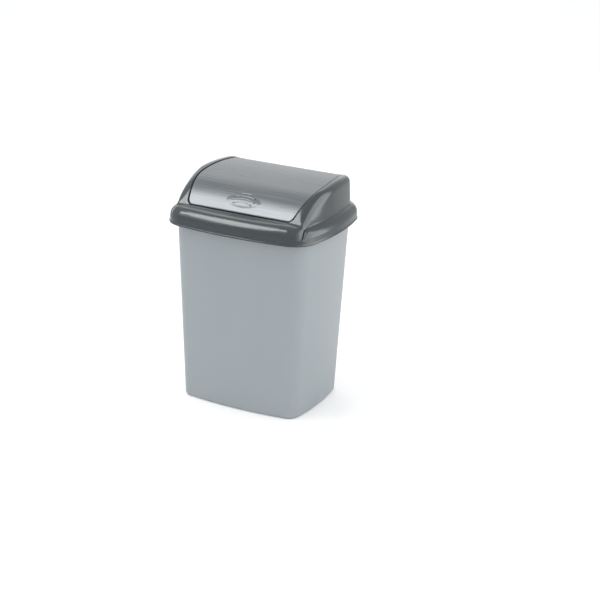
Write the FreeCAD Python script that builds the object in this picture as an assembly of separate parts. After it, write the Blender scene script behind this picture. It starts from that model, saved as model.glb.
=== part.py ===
"""Swing-lid kitchen bin of about 25 litres, in millimetres.

The bin stands on the plane z = 0, centred on x = 0 and y = 0. Its front faces -Y and +Z is up.
A tapered bucket with bowed walls carries a lid frame that lifts off. A curved flap swings both
ways in the frame's opening, on two short pins that are pressed into the flap's lugs.
"""
import FreeCAD
import Part
import math
import os
from collections import namedtuple

V = FreeCAD.Vector
X_AXIS = V(1, 0, 0)

# Overall sizes of the lid frame, measured over the bead at its lower edge.
LID_WIDTH = 345.0
LID_DEPTH = 289.0
LID_BASE_HEIGHT = 380.0
LID_RISE = 91.3

# Bow of the lid's walls in plan, as radii, and the rounding of their corners.
LID_SIDE_RADIUS = 478.0
LID_FRONT_RADIUS = 820.0
LID_CORNER_RADIUS = 52.0

# Lid frame's skirt: bead, wall and rounded shoulder.
FRAME_WALL = 2.2
BEAD_HEIGHT = 3.5
BEAD_PROUD = 0.9
SKIRT_DRAFT = 0.3
SKIRT_HEIGHT = 32.0
SHOULDER_RADIUS = 19.0
SHOULDER_RINGS = 7
SHOULDER_SILL_DROP = 3.0

# Lid frame's dome. The ledges are the skirt's steps beside it and behind it.
SIDE_LEDGE = 17.0
BACK_LEDGE = 33.5
DOME_FRONT_INSET = 1.2
DOME_DRAFT = 4.0
DOME_SIDE_RADIUS = 520.0
DOME_SIDE_CENTRE_Y = 3.0
DOME_BACK_RADIUS = 2400.0
DOME_FRONT_CORNER = 44.0
DOME_BACK_CORNER = 20.0
DOME_EDGE_RADIUS = 13.0

# Roof's side profile: sloping sill, hollow, front arc, flat top arc and rear arc.
SILL_FRONT_INSET = 5.5
SILL_HEIGHT = 29.5
SILL_SLOPE_DEGREES = 14.0
SILL_HOLLOW_RADIUS = 20.0
FLAP_EDGE_RISE = 4.6
TOP_ARC_RADIUS = 521.0
REAR_ARC_RADIUS = 24.0
REAR_ARC_INSET = 16.0
REAR_ARC_END_DEGREES = 80.0

# Crown and front end of the top arc, as shares of the lid's depth from its middle.
CROWN_SHARE = 0.1557
TOP_ARC_FRONT_SHARE = -0.0969

# Flap, set a little below the roof, and the opening that it swings in.
FLAP_DROP = 1.2
FLAP_WALL = 2.0
FLAP_GAP = 1.5
CHEEK_WIDTH = 23.5
FLAP_SIDE_FRONT_RADIUS = 270.0
FLAP_SIDE_BACK_RADIUS = 620.0
FLAP_SIDE_CENTRE_Y = -12.0
FLAP_FRONT_CORNER = 11.0
FLAP_BACK_CORNER = 7.0
FLAP_LIP_DEPTH = 13.0
FLAP_LIP_WALL = 1.8
SILL_LENGTH = 35.0
BACK_STRIP = 7.0

# Pivot. Its place in y is where the flap's weight hangs straight below it.
PIVOT_Y = -4.11
PIVOT_DEPTH = 9.5

# Opening flange and bearings of the lid frame.
FLANGE_WALL = 2.0
FLANGE_DEPTH = 15.0
BEARING_WALL = 4.0
BEARING_RIM = 2.9

# Pivot pins and the lugs that hold them.
PIN_RADIUS = 3.5
PIN_RUNNING_CLEARANCE = 0.06
PIN_HEAD_RIM = 1.7
PIN_HEAD_THICKNESS = 1.6
PIN_END_GAP = 0.5
PIN_CHAMFER = 0.6
LUG_RIM = 3.0
LUG_BORE_CLEARANCE = 0.02
LUG_WALL = 5.0
LUG_SETBACK = 0.4

# Push grip pressed into the flap: an oval dish and curved ribs.
DISH_HALF_WIDTH = 38.5
DISH_HALF_LENGTH = 15.5
DISH_DEPTH = 2.4
DISH_RAISE_SHARE = 0.5
DISH_FROM_EDGE = 16.0
RIB_WIDTH = 2.4
RIB_BOW_RADIUS = 80.0
# Each rib's place behind the dish's middle, its length and its height above the face.
GRIP_RIBS = ((16.0, 26.0, 0.8), (11.0, 44.0, 0.8), (5.0, 50.0, 0.2), (-1.0, 42.0, -0.4))

# Bucket: its taper, its outlines at the base and under the lid's edge, walls, foot and rim.
SIDE_TAPER = 20.7
FRONT_TAPER = 19.9
BASE_SIDE_RADIUS = 524.0
BASE_FRONT_RADIUS = 789.0
BASE_CORNER_RADIUS = 25.0
BASE_EDGE_RADIUS = 6.0
BASE_RINGS = 5
SIDE_OVERHANG = 13.8
FRONT_OVERHANG = 16.4
NECK_SIDE_RADIUS = 382.0
NECK_FRONT_RADIUS = 625.0
NECK_CORNER_RADIUS = 44.0
BUCKET_WALL = 2.2
BUCKET_FLOOR = 2.6
FOOT_WIDTH = 9.0
FOOT_HEIGHT = 4.0
RIM_COVER = 20.0
RIM_REACH = 6.0
RIM_LIP_HEIGHT = 10.0
RIM_PLATE = 2.0
RIM_LIP_WALL = 1.6
RIM_EDGE_RADIUS = 1.2

# Seat rib of the lid frame, which stands on the bucket's rim.
SEAT_RIB_WALL = 1.8

# How far cutting solids run past what they cut.
OVERRUN = 5.0

# Places worked out from the sizes above.
CROWN_HEIGHT = LID_BASE_HEIGHT + LID_RISE
SHOULDER_HEIGHT = LID_BASE_HEIGHT + SKIRT_HEIGHT
DOME_HALF_WIDTH = LID_WIDTH / 2 - SIDE_LEDGE
DOME_BACK_DEPTH = LID_DEPTH / 2 - BACK_LEDGE
SILL_FRONT_Y = SILL_FRONT_INSET - LID_DEPTH / 2
SILL_FRONT_Z = LID_BASE_HEIGHT + SILL_HEIGHT
CROWN_Y = LID_DEPTH * CROWN_SHARE
TOP_ARC_FRONT_Y = LID_DEPTH * TOP_ARC_FRONT_SHARE
REAR_ARC_Y = DOME_BACK_DEPTH - REAR_ARC_INSET
FLAP_HALF_WIDTH = DOME_HALF_WIDTH - CHEEK_WIDTH
FLAP_FRONT_Y = SILL_FRONT_Y + SILL_LENGTH
FLAP_BACK_Y = DOME_BACK_DEPTH - BACK_STRIP
PIVOT_Z = CROWN_HEIGHT - PIVOT_DEPTH
DISH_Y = FLAP_FRONT_Y + DISH_FROM_EDGE
BUCKET_HEIGHT = LID_BASE_HEIGHT + RIM_COVER
NECK_HALF_WIDTH = LID_WIDTH / 2 - SIDE_OVERHANG
NECK_HALF_DEPTH = LID_DEPTH / 2 - FRONT_OVERHANG
BASE_HALF_WIDTH = NECK_HALF_WIDTH - SIDE_TAPER
BASE_HALF_DEPTH = NECK_HALF_DEPTH - FRONT_TAPER

QUARTER_TURN_DEGREES = 90.0

# Smallest amounts that tell two directions or places apart.
ALMOST_ZERO = 0.000001
SLOPE_LOW = 0.5
SLOPE_HIGH = 0.9999
CORNER_REACH_SHARE = 0.6

Outline = namedtuple(
    "Outline",
    "half_width front_depth back_depth side_radius side_centre_y front_radius back_radius "
    "front_corner back_corner",
)


def symmetric_outline(half_width, half_depth, side_radius, front_radius, corner_radius):
    """Outline that is the same in front and behind."""
    return Outline(
        half_width, half_depth, half_depth, side_radius, 0.0,
        front_radius, front_radius, corner_radius, corner_radius,
    )


def inset(outline, distance):
    """The outline moved inwards by distance, all round."""
    return Outline(
        outline.half_width - distance,
        outline.front_depth - distance,
        outline.back_depth - distance,
        outline.side_radius - distance,
        outline.side_centre_y,
        outline.front_radius - distance,
        outline.back_radius - distance,
        outline.front_corner - distance,
        outline.back_corner - distance,
    )


def blend(low, high, share):
    """An outline between two others."""
    return Outline(*[a + (b - a) * share for a, b in zip(low, high)])


def corner_arc(side_centre, side_radius, end_centre, end_radius, corner_radius):
    """Corner circle that touches a side arc and an end arc from inside, in the +X half.

    Returns the points where it leaves the side, its middle, and where it meets the end.
    """
    reach_side = side_radius - corner_radius
    reach_end = end_radius - corner_radius
    between = end_centre - side_centre
    distance = between.Length
    along = (distance**2 + reach_side**2 - reach_end**2) / (2 * distance)
    across = math.sqrt(max(reach_side**2 - along**2, 0.0))
    direction = V(between).normalize()
    sideways = V(-direction.y, direction.x, 0)
    options = [side_centre + direction * along + sideways * across * sign for sign in (1, -1)]
    centre = max(options, key=lambda point: point.x)
    from_side = (centre - side_centre).normalize()
    from_end = (centre - end_centre).normalize()
    middle = (from_side + from_end).normalize()
    return (
        side_centre + from_side * side_radius,
        centre + middle * corner_radius,
        end_centre + from_end * end_radius,
    )


def mirrored(point):
    return V(-point.x, point.y, point.z)


def arc(start, middle, end):
    return Part.Arc(start, middle, end).toShape()


def outline_wire(outline, z):
    """Closed wire of eight arcs: back, corner, side, corner, front and so on."""
    side_centre = V(outline.half_width - outline.side_radius, outline.side_centre_y, 0)
    back_centre = V(0, outline.back_depth - outline.back_radius, 0)
    front_centre = V(0, outline.front_radius - outline.front_depth, 0)
    side_back, back_middle, back_end = corner_arc(
        side_centre, outline.side_radius, back_centre, outline.back_radius, outline.back_corner
    )
    side_front, front_middle, front_end = corner_arc(
        side_centre, outline.side_radius, front_centre, outline.front_radius, outline.front_corner
    )
    side_middle = side_centre + V(outline.side_radius, 0, 0)
    back = V(0, outline.back_depth, 0)
    front = V(0, -outline.front_depth, 0)
    edges = [
        arc(mirrored(back_end), back, back_end),
        arc(back_end, back_middle, side_back),
        arc(side_back, side_middle, side_front),
        arc(side_front, front_middle, front_end),
        arc(front_end, front, mirrored(front_end)),
        arc(mirrored(front_end), mirrored(front_middle), mirrored(side_front)),
        arc(mirrored(side_front), mirrored(side_middle), mirrored(side_back)),
        arc(mirrored(side_back), mirrored(back_middle), mirrored(back_end)),
    ]
    wire = Part.Wire(edges)
    wire.translate(V(0, 0, z))
    return wire


def loft(rings, ruled=True):
    """Solid through outlines given as (outline, z)."""
    return Part.makeLoft([outline_wire(outline, z) for outline, z in rings], True, ruled)


def prism(outline, z_low, z_high):
    """Straight solid on an outline."""
    face = Part.Face(outline_wire(outline, z_low))
    return face.extrude(V(0, 0, z_high - z_low))


def top_arc_centre():
    return V(0, CROWN_Y, CROWN_HEIGHT - TOP_ARC_RADIUS)


def top_arc_point(y):
    return V(0, y, height_on_arc(top_arc_centre(), TOP_ARC_RADIUS, y))


def front_arc_radius():
    """Radius of the arc that leaves the top arc smoothly and passes over the flap's front edge."""
    join = top_arc_point(TOP_ARC_FRONT_Y)
    sill_rise = SILL_LENGTH * math.tan(math.radians(SILL_SLOPE_DEGREES))
    edge = V(0, FLAP_FRONT_Y, SILL_FRONT_Z + sill_rise + FLAP_EDGE_RISE)
    chord = edge - join
    inwards = (top_arc_centre() - join).normalize()
    return chord.dot(chord) / (2 * inwards.dot(chord))


def roof_arc_centres():
    """Centres of the roof's top, front and rear arcs, as (y, z) vectors in the x = 0 plane."""
    top = top_arc_centre()
    centres = [top]
    for join_y, radius in ((TOP_ARC_FRONT_Y, front_arc_radius()), (REAR_ARC_Y, REAR_ARC_RADIUS)):
        join = top_arc_point(join_y)
        centres.append(join + (top - join).normalize() * radius)
    return centres


def height_on_arc(centre, radius, y):
    return centre.z + math.sqrt(radius**2 - (y - centre.y) ** 2)


def on_circle(centre, radius, angle_degrees):
    """Point of a circle in the x = 0 plane, with the angle counted from +Z towards +Y."""
    angle = math.radians(angle_degrees)
    return centre + V(0, math.sin(angle) * radius, math.cos(angle) * radius)


def angle_at(centre, point):
    offset = point - centre
    return math.degrees(math.atan2(offset.y, offset.z))


def yz_face(edges):
    return Part.Face(Part.Wire(edges))


def across(face, half_length):
    """Face in the x = 0 plane made solid over x = -half_length to +half_length."""
    moved = face.copy()
    moved.translate(V(-half_length, 0, 0))
    return moved.extrude(V(2 * half_length, 0, 0))


def under_roof(drop):
    """Everything below the roof's profile, with the profile moved inwards by drop."""
    top_centre, arc_centre, rear_centre = roof_arc_centres()
    top_radius = TOP_ARC_RADIUS - drop
    front_radius = front_arc_radius() - drop
    slope = math.radians(SILL_SLOPE_DEGREES)
    sill_direction = V(0, math.cos(slope), math.sin(slope))
    sill_normal = V(0, -math.sin(slope), math.cos(slope))
    sill_point = V(0, SILL_FRONT_Y, SILL_FRONT_Z) - sill_normal * drop
    hollow_radius = SILL_HOLLOW_RADIUS + drop
    # The hollow's centre stands hollow_radius off the sill and outside the front arc.
    offset_point = sill_point + sill_normal * hollow_radius
    reach = front_radius + hollow_radius
    relative = offset_point - arc_centre
    along = -relative.dot(sill_direction)
    nearest = relative + sill_direction * along
    back = math.sqrt(reach**2 - nearest.Length**2)
    hollow_centre = offset_point + sill_direction * (along - back)
    sill_end = hollow_centre - sill_normal * hollow_radius
    arc_start = hollow_centre + (arc_centre - hollow_centre).normalize() * hollow_radius
    hollow_middle = hollow_centre + (
        (sill_end - hollow_centre).normalize() + (arc_start - hollow_centre).normalize()
    ).normalize() * hollow_radius
    joint_angle = angle_at(top_centre, arc_centre)
    joint = on_circle(top_centre, top_radius, joint_angle)
    start_angle = angle_at(arc_centre, arc_start)
    front_middle = on_circle(arc_centre, front_radius, (start_angle + joint_angle) / 2)
    rear_radius = REAR_ARC_RADIUS - drop
    back_angle = angle_at(top_centre, rear_centre)
    back_end = on_circle(top_centre, top_radius, back_angle)
    rear_end = on_circle(rear_centre, rear_radius, REAR_ARC_END_DEGREES)
    rear_middle = on_circle(rear_centre, rear_radius, (back_angle + REAR_ARC_END_DEGREES) / 2)
    top_middle = on_circle(top_centre, top_radius, (back_angle + joint_angle) / 2)
    low_z = LID_BASE_HEIGHT - 2 * OVERRUN
    sill_start = sill_point - sill_direction * (LID_DEPTH / 2 + sill_point.y + OVERRUN)
    edges = [
        Part.makeLine(V(0, sill_start.y, low_z), sill_start),
        Part.makeLine(sill_start, sill_end),
        arc(sill_end, hollow_middle, arc_start),
        arc(arc_start, front_middle, joint),
        arc(joint, top_middle, back_end),
        arc(back_end, rear_middle, rear_end),
        Part.makeLine(rear_end, V(0, rear_end.y, low_z)),
        Part.makeLine(V(0, rear_end.y, low_z), V(0, sill_start.y, low_z)),
    ]
    return across(yz_face(edges), LID_WIDTH / 2 + OVERRUN)


def under_sill(drop):
    """Everything below the sill's slope, moved down by drop and carried on to the back."""
    low_z = LID_BASE_HEIGHT - 2 * OVERRUN
    slope = math.tan(math.radians(SILL_SLOPE_DEGREES))
    reach = LID_DEPTH / 2 + OVERRUN
    front_z = SILL_FRONT_Z - drop - (reach + SILL_FRONT_Y) * slope
    corners = [
        V(0, -reach, low_z),
        V(0, -reach, front_z),
        V(0, reach, front_z + 2 * reach * slope),
        V(0, reach, low_z),
    ]
    edges = [Part.makeLine(a, b) for a, b in zip(corners, corners[1:] + corners[:1])]
    return across(yz_face(edges), LID_WIDTH / 2 + OVERRUN)


def skirt_outline():
    """Skirt's outer face just above the bead."""
    return inset(lid_edge_outline(), BEAD_PROUD)


def lid_edge_outline():
    return symmetric_outline(
        LID_WIDTH / 2, LID_DEPTH / 2, LID_SIDE_RADIUS, LID_FRONT_RADIUS, LID_CORNER_RADIUS
    )


def dome_outline():
    """Dome's outer wall. Its front stands a little in front of the tapered skirt."""
    skirt = skirt_outline()
    return Outline(
        DOME_HALF_WIDTH, skirt.front_depth - DOME_FRONT_INSET, DOME_BACK_DEPTH, DOME_SIDE_RADIUS,
        DOME_SIDE_CENTRE_Y, skirt.front_radius, DOME_BACK_RADIUS,
        DOME_FRONT_CORNER, DOME_BACK_CORNER,
    )


def is_roof(face):
    """A face of the roof's profile: a sloping plane or a cylinder along X."""
    surface = face.Surface
    kind = type(surface).__name__
    if kind == "Plane":
        return abs(surface.Axis.x) < ALMOST_ZERO and SLOPE_LOW < abs(surface.Axis.z) < SLOPE_HIGH
    return kind == "Cylinder" and abs(surface.Axis.x) > SLOPE_HIGH


def edges_round_roof(body):
    """Edges where the roof meets the upright walls."""
    loop = []
    for edge in body.Edges:
        owners = [face for face in body.Faces if any(other.isSame(edge) for other in face.Edges)]
        roofs = [face for face in owners if is_roof(face)]
        if len(owners) == 2 and len(roofs) == 1:
            loop.append(edge)
    return loop


def dome_block(wall):
    """Upper part of the lid frame as a full solid, moved inwards by wall."""
    low = LID_BASE_HEIGHT + BEAD_HEIGHT if wall == 0 else LID_BASE_HEIGHT - OVERRUN
    rings = []
    for z in (low, CROWN_HEIGHT + OVERRUN):
        draft = DOME_DRAFT * (z - SHOULDER_HEIGHT) / (CROWN_HEIGHT - SHOULDER_HEIGHT)
        rings.append((inset(dome_outline(), wall + draft), z))
    block = loft(rings)
    block = block.common(under_roof(wall))
    return block.makeFillet(DOME_EDGE_RADIUS - wall, edges_round_roof(block))


def skirt_block(wall):
    """Skirt with its rounded shoulder as a full solid, moved inwards by wall."""
    skirt = skirt_outline()
    top_skirt = inset(skirt, SKIRT_DRAFT)
    low = LID_BASE_HEIGHT if wall == 0 else LID_BASE_HEIGHT - OVERRUN
    round_start = SHOULDER_HEIGHT - SHOULDER_RADIUS
    rings = []
    for step in range(SHOULDER_RINGS):
        turn = math.pi / 2 * step / (SHOULDER_RINGS - 1)
        radius = SHOULDER_RADIUS - wall
        ring = inset(top_skirt, wall + radius * (1 - math.cos(turn)))
        rings.append((ring, round_start + radius * math.sin(turn)))
    shoulder = loft(rings, ruled=False)
    wall_part = loft([(inset(skirt, wall), low), (inset(top_skirt, wall), round_start)])
    block = wall_part.fuse(shoulder)
    return block.common(under_sill(wall + SHOULDER_SILL_DROP))


def bead():
    """Thickened lower edge of the skirt."""
    edge = lid_edge_outline()
    straight = LID_BASE_HEIGHT + BEAD_HEIGHT - BEAD_PROUD
    rings = [
        (edge, LID_BASE_HEIGHT),
        (edge, straight),
        (inset(edge, BEAD_PROUD), LID_BASE_HEIGHT + BEAD_HEIGHT),
    ]
    return loft(rings)


def frame_form(wall):
    """Lid frame as a full solid: its outer form, or its inner form at a wall's thickness."""
    return dome_block(wall).fuse(skirt_block(wall))


def opening_prism(gap):
    """Upright solid on the flap's plan form, with its side walls moved outwards by gap."""
    half = FLAP_HALF_WIDTH + gap
    front_radius = FLAP_SIDE_FRONT_RADIUS + gap
    back_radius = FLAP_SIDE_BACK_RADIUS + gap
    front_centre = V(half - front_radius, FLAP_SIDE_CENTRE_Y, 0)
    back_centre = V(half - back_radius, FLAP_SIDE_CENTRE_Y, 0)

    def side_point(centre, radius, y):
        return V(centre.x + math.sqrt(radius**2 - (y - centre.y) ** 2), y, 0)

    front_y = PIVOT_Y - front_sweep() - OVERRUN
    back_y = PIVOT_Y + back_sweep() + OVERRUN
    front = side_point(front_centre, front_radius, front_y)
    front_middle = side_point(front_centre, front_radius, (front_y + FLAP_SIDE_CENTRE_Y) / 2)
    widest = V(half, FLAP_SIDE_CENTRE_Y, 0)
    back_middle = side_point(back_centre, back_radius, (back_y + FLAP_SIDE_CENTRE_Y) / 2)
    back = side_point(back_centre, back_radius, back_y)
    edges = [
        Part.makeLine(mirrored(front), front),
        arc(front, front_middle, widest),
        arc(widest, back_middle, back),
        Part.makeLine(back, mirrored(back)),
        arc(mirrored(back), mirrored(back_middle), mirrored(widest)),
        arc(mirrored(widest), mirrored(front_middle), mirrored(front)),
    ]
    face = Part.Face(Part.Wire(edges))
    low_z = SILL_FRONT_Z - FLANGE_DEPTH - OVERRUN
    face.translate(V(0, 0, low_z))
    return face.extrude(V(0, 0, CROWN_HEIGHT + OVERRUN - low_z))


def front_sweep():
    """Radius about the pivot that the flap's front edge swings on."""
    edge_z = height_on_arc(roof_arc_centres()[1], front_arc_radius(), FLAP_FRONT_Y) - FLAP_DROP
    return math.hypot(FLAP_FRONT_Y - PIVOT_Y, edge_z - PIVOT_Z)


def back_edge_height():
    return height_on_arc(roof_arc_centres()[2], REAR_ARC_RADIUS, FLAP_BACK_Y) - FLAP_DROP


def back_sweep():
    """Radius about the pivot that the flap's back edge swings on."""
    return math.hypot(FLAP_BACK_Y - PIVOT_Y, back_edge_height() - PIVOT_Z)


def sweep_space(gap):
    """Space about the pivot that holds everything the flap passes through."""
    start = V(-LID_WIDTH / 2, PIVOT_Y, PIVOT_Z)
    side = 2 * LID_DEPTH
    halves = []
    for radius, low_y in ((front_sweep() + gap, -side), (back_sweep() + gap, 0)):
        cylinder = Part.makeCylinder(radius, LID_WIDTH, start, X_AXIS)
        box = Part.makeBox(LID_WIDTH, side, 2 * side, start + V(0, low_y, -side))
        halves.append(cylinder.common(box))
    return halves[0].fuse(halves[1])


def flap_form(gap):
    """Space of the flap in plan and sweep, grown by gap, with its four corners rounded."""
    body = opening_prism(gap).common(sweep_space(gap))
    body = body.makeFillet(FLAP_FRONT_CORNER + gap, corner_edges(body, -front_sweep()))
    return body.makeFillet(FLAP_BACK_CORNER + gap, corner_edges(body, back_sweep()))


def corner_edges(body, reach):
    """Edges where the opening's sides meet the sweep, on the side of the pivot given by reach."""
    found = []
    for edge in body.Edges:
        box = edge.BoundBox
        leans = box.ZLength > FLAP_LIP_DEPTH and box.YLength > FLAP_GAP
        on_this_side = (box.Center.y - PIVOT_Y) * reach > 0
        if leans and on_this_side and abs(box.Center.x) > FLAP_HALF_WIDTH * CORNER_REACH_SHARE:
            found.append(edge)
    return found


def slab(upper, lower):
    """Layer between two depths under the roof."""
    return under_roof(upper).cut(under_roof(lower))


def bearing_position(x):
    return V(x, PIVOT_Y, PIVOT_Z)


def bearing(inner_x):
    """Boss on the right-hand opening flange that carries the pin."""
    return Part.makeCylinder(PIN_RADIUS + BEARING_RIM, BEARING_WALL, bearing_position(inner_x), X_AXIS)


def both_sides(shape):
    """The shape and its mirror image on the -X side."""
    return [shape, shape.mirror(V(0, 0, 0), X_AXIS)]


def make_lid_frame():
    outer = frame_form(0.0)
    shell = outer.cut(frame_form(FRAME_WALL))
    rim = bead().cut(prism(inset(skirt_outline(), FRAME_WALL), 0, CROWN_HEIGHT))
    opening = flap_form(FLAP_GAP)
    flange = flap_form(FLAP_GAP + FLANGE_WALL).common(slab(FRAME_WALL / 2, FLANGE_DEPTH))
    seat_outline = bucket_outline(BUCKET_HEIGHT)
    seat = prism(seat_outline, BUCKET_HEIGHT, SHOULDER_HEIGHT)
    seat = seat.cut(prism(inset(seat_outline, SEAT_RIB_WALL), 0, CROWN_HEIGHT))
    seat = seat.common(outer)
    inner_x = FLAP_HALF_WIDTH + FLAP_GAP
    bosses = both_sides(bearing(inner_x))
    body = shell.fuse([rim, flange, seat] + bosses)
    body = body.cut(opening)
    reach = inner_x + BEARING_WALL + FLAP_GAP
    bore = Part.makeCylinder(
        PIN_RADIUS + PIN_RUNNING_CLEARANCE, 2 * reach, bearing_position(-reach), X_AXIS
    )
    return body.cut(bore).removeSplitter()


def surface_point(y_place, depth):
    """Point of the front arc at y = y_place, moved inwards by depth, and the outward normal."""
    centre = roof_arc_centres()[1]
    height = height_on_arc(centre, front_arc_radius(), y_place)
    normal = (V(0, y_place, height) - centre).normalize()
    return centre + normal * (front_arc_radius() - depth), normal


def dish_solid(extra):
    """Ellipsoid whose lower cap forms the push dish, with extra wall round it."""
    point, normal = surface_point(DISH_Y, FLAP_DROP)
    cap_share = math.sqrt(1 - DISH_RAISE_SHARE**2)
    height = DISH_DEPTH / (1 - DISH_RAISE_SHARE)
    ball = Part.makeSphere(1)
    # The sphere's poles go to its sides and its seam to the top, all off the dish's face.
    ball.rotate(V(0, 0, 0), V(0, 1, 0), -QUARTER_TURN_DEGREES)
    matrix = FreeCAD.Matrix()
    matrix.scale(
        DISH_HALF_WIDTH / cap_share + extra, DISH_HALF_LENGTH / cap_share + extra, height + extra
    )
    ball = ball.transformGeometry(matrix)
    ball.rotate(V(0, 0, 0), X_AXIS, math.degrees(math.atan2(-normal.y, normal.z)))
    ball.translate(point + normal * (height * DISH_RAISE_SHARE))
    return ball


def rib(y_place, length, height):
    """Raised grip rib, bowed in plan, that stands height above the flap's face."""
    centre = V(0, y_place - RIB_BOW_RADIUS, CROWN_HEIGHT / 2)
    ring = Part.makeCylinder(RIB_BOW_RADIUS + RIB_WIDTH / 2, CROWN_HEIGHT, centre)
    ring = ring.cut(Part.makeCylinder(RIB_BOW_RADIUS - RIB_WIDTH / 2, CROWN_HEIGHT, centre))
    box = Part.makeBox(length, RIB_BOW_RADIUS, CROWN_HEIGHT)
    box.translate(V(-length / 2, y_place - RIB_BOW_RADIUS / 2, CROWN_HEIGHT / 2))
    bar = ring.common(box).common(under_roof(FLAP_DROP - height))
    root = slab(FLAP_DROP - max(height, 0), FLAP_DROP + FLAP_WALL / 2)
    return bar.common(root.fuse(dish_solid(FLAP_WALL / 2)))


def lug():
    """Right-hand lug under the flap's side, which holds the pin."""
    side = FLAP_HALF_WIDTH - LUG_WALL - LUG_SETBACK
    radius = PIN_RADIUS + LUG_RIM
    barrel = Part.makeCylinder(radius, LUG_WALL, bearing_position(side), X_AXIS)
    web = Part.makeBox(LUG_WALL, 2 * radius, CROWN_HEIGHT - PIVOT_Z)
    web.translate(V(side, PIVOT_Y - radius, PIVOT_Z))
    return barrel.fuse(web).common(under_roof(FLAP_DROP + FLAP_WALL / 2))


def flap_lip(form):
    """Lip that hangs down all round the flap's edge."""
    lip = form.cut(flap_form(-FLAP_LIP_WALL))
    lip = lip.common(slab(FLAP_DROP, FLAP_DROP + FLAP_LIP_DEPTH))
    lowest = back_edge_height() - FLAP_LIP_DEPTH
    corner = V(-LID_WIDTH / 2, PIVOT_Y, LID_BASE_HEIGHT)
    return lip.cut(Part.makeBox(LID_WIDTH, LID_DEPTH, lowest - LID_BASE_HEIGHT, corner))


def make_swing_flap():
    form = flap_form(0.0)
    panel = form.common(slab(FLAP_DROP, FLAP_DROP + FLAP_WALL))
    dish_wall = dish_solid(FLAP_WALL).common(under_roof(FLAP_DROP + FLAP_WALL / 2))
    body = panel.fuse([flap_lip(form), dish_wall] + both_sides(lug()))
    body = body.cut(dish_solid(0.0))
    ribs = [rib(DISH_Y + behind, length, height) for behind, length, height in GRIP_RIBS]
    body = body.fuse(ribs)
    bore = Part.makeCylinder(
        PIN_RADIUS + LUG_BORE_CLEARANCE, LID_WIDTH, bearing_position(-LID_WIDTH / 2), X_AXIS
    )
    return body.cut(bore).removeSplitter()


def make_right_pin():
    """Pin that is pressed into the lug from inside and turns in the lid frame's bearing."""
    lug_inner = FLAP_HALF_WIDTH - LUG_WALL - LUG_SETBACK
    end = FLAP_HALF_WIDTH + FLAP_GAP + BEARING_WALL - PIN_END_GAP
    straight = end - PIN_CHAMFER
    head_start = lug_inner - PIN_HEAD_THICKNESS
    head = Part.makeCylinder(
        PIN_RADIUS + PIN_HEAD_RIM, PIN_HEAD_THICKNESS, bearing_position(head_start), X_AXIS
    )
    shaft = Part.makeCylinder(
        PIN_RADIUS, straight - lug_inner, bearing_position(lug_inner), X_AXIS
    )
    tip = Part.makeCone(
        PIN_RADIUS, PIN_RADIUS - PIN_CHAMFER, PIN_CHAMFER, bearing_position(straight), X_AXIS
    )
    return head.fuse([shaft, tip]).removeSplitter()


def base_outline():
    return symmetric_outline(
        BASE_HALF_WIDTH, BASE_HALF_DEPTH, BASE_SIDE_RADIUS, BASE_FRONT_RADIUS, BASE_CORNER_RADIUS
    )


def bucket_outline(z):
    """Bucket's outer wall at height z."""
    top = symmetric_outline(
        NECK_HALF_WIDTH, NECK_HALF_DEPTH, NECK_SIDE_RADIUS, NECK_FRONT_RADIUS, NECK_CORNER_RADIUS
    )
    return blend(base_outline(), top, z / LID_BASE_HEIGHT)


def bucket_form(wall, low, edge_radius):
    """Bucket as a full solid with a rounded lower edge, moved inwards by wall."""
    rings = []
    for step in range(BASE_RINGS):
        turn = math.pi / 2 * step / (BASE_RINGS - 1)
        rise = edge_radius * (1 - math.cos(turn))
        inwards = edge_radius * (1 - math.sin(turn))
        rings.append((inset(bucket_outline(low + rise), wall + inwards), low + rise))
    high = BUCKET_HEIGHT if wall == 0 else BUCKET_HEIGHT + OVERRUN
    rings.append((inset(bucket_outline(high), wall), high))
    return loft(rings)


def make_bin_body():
    body = bucket_form(0.0, 0.0, BASE_EDGE_RADIUS)
    rim = bucket_outline(BUCKET_HEIGHT)
    rim_outer = inset(rim, -RIM_REACH)
    roll = prism(rim_outer, BUCKET_HEIGHT - RIM_LIP_HEIGHT, BUCKET_HEIGHT)
    roll = roll.cut(
        prism(inset(rim_outer, RIM_LIP_WALL), 0, BUCKET_HEIGHT - RIM_PLATE)
    )
    top_edges = [e for e in roll.Edges if abs(e.BoundBox.ZMin - BUCKET_HEIGHT) < ALMOST_ZERO]
    roll = roll.makeFillet(RIM_EDGE_RADIUS, top_edges)
    body = body.fuse(roll)
    floor_z = FOOT_HEIGHT + BUCKET_FLOOR
    body = body.cut(bucket_form(BUCKET_WALL, floor_z, BASE_EDGE_RADIUS))
    foot_outline = inset(base_outline(), BASE_EDGE_RADIUS + FOOT_WIDTH)
    recess = prism(foot_outline, -OVERRUN, FOOT_HEIGHT)
    return body.cut(recess).removeSplitter()


def export(shape, name):
    """Writes one part's STEP file."""
    shape.Solids[0].exportStep("parts/" + name + ".step")
    print(name, "solids:", len(shape.Solids), "valid:", shape.isValid())


def main():
    os.makedirs("parts", exist_ok=True)
    right_pin = make_right_pin()
    export(make_bin_body(), "bin_body")
    export(make_lid_frame(), "lid_frame")
    export(make_swing_flap(), "swing_flap")
    export(right_pin, "right_pivot_pin")
    export(right_pin.mirror(V(0, 0, 0), X_AXIS), "left_pivot_pin")


main()
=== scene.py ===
"""The swing-lid bin's looks: materials, fine detail, and the light and camera of the photograph."""
import math
from collections import namedtuple

import bmesh
import bpy
from mathutils import Matrix, Vector


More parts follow.
